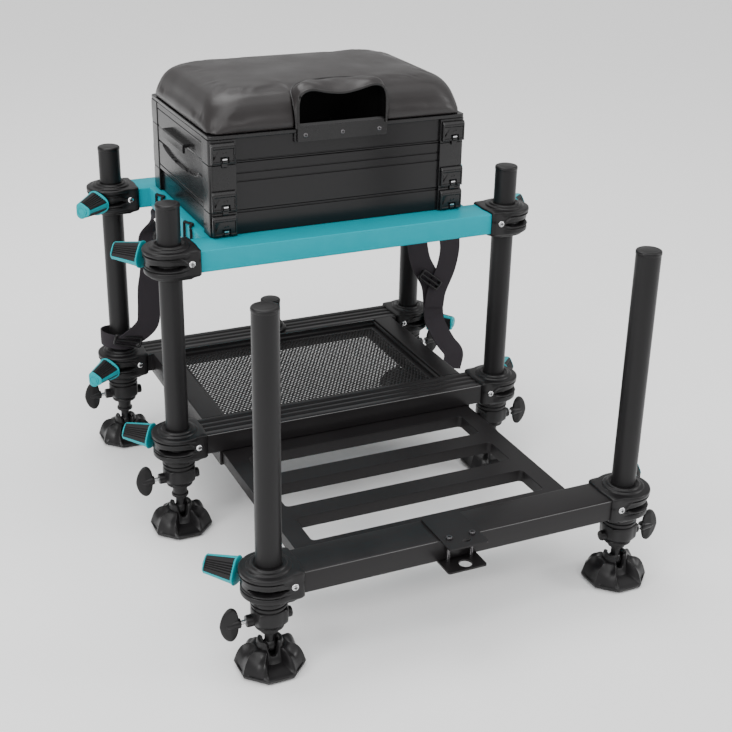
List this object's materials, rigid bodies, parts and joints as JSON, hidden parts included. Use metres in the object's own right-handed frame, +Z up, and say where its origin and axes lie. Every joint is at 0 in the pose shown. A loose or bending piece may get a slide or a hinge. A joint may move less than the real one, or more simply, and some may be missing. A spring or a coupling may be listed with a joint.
{
  "type": "fishing seat box",
  "caption": "Cushioned fishing seat box on a frame of clamped tube legs with a sliding footplate and mud feet.",
  "frame": {"origin": "on the ground under the middle of the object's plan", "axes": "+Z up, +Y from the footplate to the back of the seat box, +X to the sitter's right seen from behind the footplate"},
  "size_m": [0.7224, 0.8472, 0.6947],
  "materials": {
    "teal_paint": "gloss",
    "black_aluminium": "satin",
    "black_nylon": "satin",
    "teal_nylon": "satin",
    "gloss_black": "gloss",
    "box_plastic": "satin",
    "seat_leather": "satin",
    "black_webbing": "woven"
  },
  "bodies": {
    "root": {"upper_frame": "teal_paint", "lower_frame": "black_aluminium", "mesh_tray": "black_aluminium", "rear_post": "black_aluminium", "box_base_module": "box_plastic", "strap_left": "black_webbing", "strap_right": "black_webbing", "shock_cord": "black_webbing", "upper_clamp_front_left": "black_nylon", "upper_clamp_front_right": "black_nylon", "upper_clamp_rear_left": "black_nylon", "upper_clamp_rear_right": "black_nylon"},
    "footplate": {"footplate_front_bar": "black_aluminium", "footplate_deck": "black_aluminium", "accessory_bracket": "black_aluminium"},
    "upper_knob_front_left": {"upper_knob_front_left": "teal_nylon"},
    "lower_knob_front_left": {"lower_knob_front_left": "teal_nylon"},
    "leg_front_left": {"leg_front_left": "black_aluminium"},
    "wing_screw_front_left": {"wing_screw_front_left": "black_nylon"},
    "stem_front_left": {"stem_front_left": "black_nylon"},
    "foot_front_left": {"foot_front_left": "black_nylon"},
    "upper_knob_front_right": {"upper_knob_front_right": "teal_nylon"},
    "lower_knob_front_right": {"lower_knob_front_right": "teal_nylon"},
    "leg_front_right": {"leg_front_right": "black_aluminium"},
    "wing_screw_front_right": {"wing_screw_front_right": "black_nylon"},
    "stem_front_right": {"stem_front_right": "black_nylon"},
    "foot_front_right": {"foot_front_right": "black_nylon"},
    "upper_knob_rear_left": {"upper_knob_rear_left": "teal_nylon"},
    "lower_knob_rear_left": {"lower_knob_rear_left": "teal_nylon"},
    "leg_rear_left": {"leg_rear_left": "black_aluminium"},
    "wing_screw_rear_left": {"wing_screw_rear_left": "black_nylon"},
    "stem_rear_left": {"stem_rear_left": "black_nylon"},
    "foot_rear_left": {"foot_rear_left": "black_nylon"},
    "upper_knob_rear_right": {"upper_knob_rear_right": "teal_nylon"},
    "lower_knob_rear_right": {"lower_knob_rear_right": "teal_nylon"},
    "leg_rear_right": {"leg_rear_right": "black_aluminium"},
    "wing_screw_rear_right": {"wing_screw_rear_right": "black_nylon"},
    "stem_rear_right": {"stem_rear_right": "black_nylon"},
    "foot_rear_right": {"foot_rear_right": "black_nylon"},
    "clamp_knob_footplate_left": {"clamp_knob_footplate_left": "teal_nylon"},
    "leg_footplate_left": {"leg_footplate_left": "black_aluminium"},
    "wing_screw_footplate_left": {"wing_screw_footplate_left": "black_nylon"},
    "stem_footplate_left": {"stem_footplate_left": "black_nylon"},
    "foot_footplate_left": {"foot_footplate_left": "black_nylon"},
    "clamp_knob_footplate_right": {"clamp_knob_footplate_right": "teal_nylon"},
    "leg_footplate_right": {"leg_footplate_right": "black_aluminium"},
    "wing_screw_footplate_right": {"wing_screw_footplate_right": "black_nylon"},
    "stem_footplate_right": {"stem_footplate_right": "black_nylon"},
    "foot_footplate_right": {"foot_footplate_right": "black_nylon"},
    "box_middle": {"box_middle_module": "box_plastic"},
    "box_top": {"box_top_module": "box_plastic"},
    "drawer_lower": {"side_drawer_lower": "box_plastic"},
    "drawer_upper": {"side_drawer_upper": "box_plastic"},
    "latch_middle_left": {"latch_middle_left": "gloss_black"},
    "latch_middle_right": {"latch_middle_right": "gloss_black"},
    "latch_top_left": {"latch_top_left": "gloss_black"},
    "latch_top_right": {"latch_top_right": "gloss_black"},
    "lid": {"seat_lid": "gloss_black", "seat_cushion": "seat_leather", "grab_hood": "seat_leather"}
  },
  "joints": [
    {"name": "footplate_slide", "type": "slide", "parent": "root", "child": "footplate", "axis": [0, 1, 0], "range_m": [0, 0.25]},
    {"name": "upper_knob_front_left_turn", "type": "hinge", "parent": "root", "child": "upper_knob_front_left", "pos_m": [-0.32743, 0.07983, 0.46], "axis": [-0.7071, 0.7071, 0], "range_deg": [0, 540]},
    {"name": "lower_knob_front_left_turn", "type": "hinge", "parent": "root", "child": "lower_knob_front_left", "pos_m": [-0.32743, 0.07983, 0.155], "axis": [-0.7071, 0.7071, 0], "range_deg": [0, 540]},
    {"name": "leg_slide_front_left", "type": "slide", "parent": "root", "child": "leg_front_left", "axis": [0, 0, -1], "range_m": [0, 0.05]},
    {"name": "wing_screw_turn_front_left", "type": "hinge", "parent": "leg_front_left", "child": "wing_screw_front_left", "pos_m": [-0.33, 0.0374, 0.094], "axis": [-1, 0, 0], "range_deg": [0, 540]},
    {"name": "stem_slide_front_left", "type": "slide", "parent": "leg_front_left", "child": "stem_front_left", "axis": [0, 0, -1], "range_m": [-0.014, 0.03]},
    {"name": "foot_tilt_front_left", "type": "hinge", "parent": "stem_front_left", "child": "foot_front_left", "pos_m": [-0.285, 0.0374, 0.035], "axis": [1, 0, 0], "range_deg": [-20, 20]},
    {"name": "upper_knob_front_right_turn", "type": "hinge", "parent": "root", "child": "upper_knob_front_right", "pos_m": [0.32743, 0.07983, 0.46], "axis": [0.7071, 0.7071, 0], "range_deg": [0, 540]},
    {"name": "lower_knob_front_right_turn", "type": "hinge", "parent": "root", "child": "lower_knob_front_right", "pos_m": [0.32743, 0.07983, 0.155], "axis": [0.7071, 0.7071, 0], "range_deg": [0, 540]},
    {"name": "leg_slide_front_right", "type": "slide", "parent": "root", "child": "leg_front_right", "axis": [0, 0, -1], "range_m": [0, 0.05]},
    {"name": "wing_screw_turn_front_right", "type": "hinge", "parent": "leg_front_right", "child": "wing_screw_front_right", "pos_m": [0.33, 0.0374, 0.094], "axis": [1, 0, 0], "range_deg": [0, 540]},
    {"name": "stem_slide_front_right", "type": "slide", "parent": "leg_front_right", "child": "stem_front_right", "axis": [0, 0, -1], "range_m": [-0.014, 0.03]},
    {"name": "foot_tilt_front_right", "type": "hinge", "parent": "stem_front_right", "child": "foot_front_right", "pos_m": [0.285, 0.0374, 0.035], "axis": [1, 0, 0], "range_deg": [-20, 20]},
    {"name": "upper_knob_rear_left_turn", "type": "hinge", "parent": "root", "child": "upper_knob_rear_left", "pos_m": [-0.32743, 0.33498, 0.46], "axis": [-0.7071, -0.7071, 0], "range_deg": [0, 540]},
    {"name": "lower_knob_rear_left_turn", "type": "hinge", "parent": "root", "child": "lower_knob_rear_left", "pos_m": [-0.32743, 0.33498, 0.155], "axis": [-0.7071, -0.7071, 0], "range_deg": [0, 540]},
    {"name": "leg_slide_rear_left", "type": "slide", "parent": "root", "child": "leg_rear_left", "axis": [0, 0, -1], "range_m": [0, 0.05]},
    {"name": "wing_screw_turn_rear_left", "type": "hinge", "parent": "leg_rear_left", "child": "wing_screw_rear_left", "pos_m": [-0.33, 0.3774, 0.094], "axis": [-1, 0, 0], "range_deg": [0, 540]},
    {"name": "stem_slide_rear_left", "type": "slide", "parent": "leg_rear_left", "child": "stem_rear_left", "axis": [0, 0, -1], "range_m": [-0.014, 0.03]},
    {"name": "foot_tilt_rear_left", "type": "hinge", "parent": "stem_rear_left", "child": "foot_rear_left", "pos_m": [-0.285, 0.3774, 0.035], "axis": [1, 0, 0], "range_deg": [-20, 20]},
    {"name": "upper_knob_rear_right_turn", "type": "hinge", "parent": "root", "child": "upper_knob_rear_right", "pos_m": [0.32743, 0.33498, 0.46], "axis": [0.7071, -0.7071, 0], "range_deg": [0, 540]},
    {"name": "lower_knob_rear_right_turn", "type": "hinge", "parent": "root", "child": "lower_knob_rear_right", "pos_m": [0.32743, 0.33498, 0.155], "axis": [0.7071, -0.7071, 0], "range_deg": [0, 540]},
    {"name": "leg_slide_rear_right", "type": "slide", "parent": "root", "child": "leg_rear_right", "axis": [0, 0, -1], "range_m": [0, 0.05]},
    {"name": "wing_screw_turn_rear_right", "type": "hinge", "parent": "leg_rear_right", "child": "wing_screw_rear_right", "pos_m": [0.33, 0.3774, 0.094], "axis": [1, 0, 0], "range_deg": [0, 540]},
    {"name": "stem_slide_rear_right", "type": "slide", "parent": "leg_rear_right", "child": "stem_rear_right", "axis": [0, 0, -1], "range_m": [-0.014, 0.03]},
    {"name": "foot_tilt_rear_right", "type": "hinge", "parent": "stem_rear_right", "child": "foot_rear_right", "pos_m": [0.285, 0.3774, 0.035], "axis": [1, 0, 0], "range_deg": [-20, 20]},
    {"name": "clamp_knob_footplate_left_turn", "type": "hinge", "parent": "footplate", "child": "clamp_knob_footplate_left", "pos_m": [-0.32443, -0.32017, 0.142], "axis": [-0.7071, 0.7071, 0], "range_deg": [0, 540]},
    {"name": "leg_slide_footplate_left", "type": "slide", "parent": "footplate", "child": "leg_footplate_left", "axis": [0, 0, -1], "range_m": [0, 0.3]},
    {"name": "wing_screw_turn_footplate_left", "type": "hinge", "parent": "leg_footplate_left", "child": "wing_screw_footplate_left", "pos_m": [-0.327, -0.3626, 0.081], "axis": [-1, 0, 0], "range_deg": [0, 540]},
    {"name": "stem_slide_footplate_left", "type": "slide", "parent": "leg_footplate_left", "child": "stem_footplate_left", "axis": [0, 0, -1], "range_m": [0, 0.03]},
    {"name": "foot_tilt_footplate_left", "type": "hinge", "parent": "stem_footplate_left", "child": "foot_footplate_left", "pos_m": [-0.282, -0.3626, 0.035], "axis": [1, 0, 0], "range_deg": [-20, 20]},
    {"name": "clamp_knob_footplate_right_turn", "type": "hinge", "parent": "footplate", "child": "clamp_knob_footplate_right", "pos_m": [0.32443, -0.32017, 0.142], "axis": [0.7071, 0.7071, 0], "range_deg": [0, 540]},
    {"name": "leg_slide_footplate_right", "type": "slide", "parent": "footplate", "child": "leg_footplate_right", "axis": [0, 0, -1], "range_m": [0, 0.3]},
    {"name": "wing_screw_turn_footplate_right", "type": "hinge", "parent": "leg_footplate_right", "child": "wing_screw_footplate_right", "pos_m": [0.327, -0.3626, 0.081], "axis": [1, 0, 0], "range_deg": [0, 540]},
    {"name": "stem_slide_footplate_right", "type": "slide", "parent": "leg_footplate_right", "child": "stem_footplate_right", "axis": [0, 0, -1], "range_m": [0, 0.03]},
    {"name": "foot_tilt_footplate_right", "type": "hinge", "parent": "stem_footplate_right", "child": "foot_footplate_right", "pos_m": [0.282, -0.3626, 0.035], "axis": [1, 0, 0], "range_deg": [-20, 20]},
    {"name": "middle_module_lift", "type": "slide", "parent": "root", "child": "box_middle", "axis": [0, 0, 1], "range_m": [0, 0.06]},
    {"name": "top_module_lift", "type": "slide", "parent": "box_middle", "child": "box_top", "axis": [0, 0, 1], "range_m": [0, 0.06]},
    {"name": "lower_drawer_slide", "type": "slide", "parent": "box_middle", "child": "drawer_lower", "axis": [-1, 0, 0], "range_m": [0, 0.25]},
    {"name": "upper_drawer_slide", "type": "slide", "parent": "box_top", "child": "drawer_upper", "axis": [-1, 0, 0], "range_m": [0, 0.25]},
    {"name": "latch_middle_left_turn", "type": "hinge", "parent": "box_middle", "child": "latch_middle_left", "pos_m": [-0.1925, 0.0551, 0.5496], "axis": [-1, 0, 0], "range_deg": [0, 70]},
    {"name": "latch_middle_right_turn", "type": "hinge", "parent": "box_middle", "child": "latch_middle_right", "pos_m": [0.1925, 0.0551, 0.5496], "axis": [-1, 0, 0], "range_deg": [0, 70]},
    {"name": "latch_top_left_turn", "type": "hinge", "parent": "box_top", "child": "latch_top_left", "pos_m": [-0.1925, 0.0551, 0.6234], "axis": [-1, 0, 0], "range_deg": [0, 70]},
    {"name": "latch_top_right_turn", "type": "hinge", "parent": "box_top", "child": "latch_top_right", "pos_m": [0.1925, 0.0551, 0.6234], "axis": [-1, 0, 0], "range_deg": [0, 70]},
    {"name": "lid_turn", "type": "hinge", "parent": "box_top", "child": "lid", "pos_m": [0, 0.3637, 0.6277], "axis": [-1, 0, 0], "range_deg": [0, 95]}
  ]
}
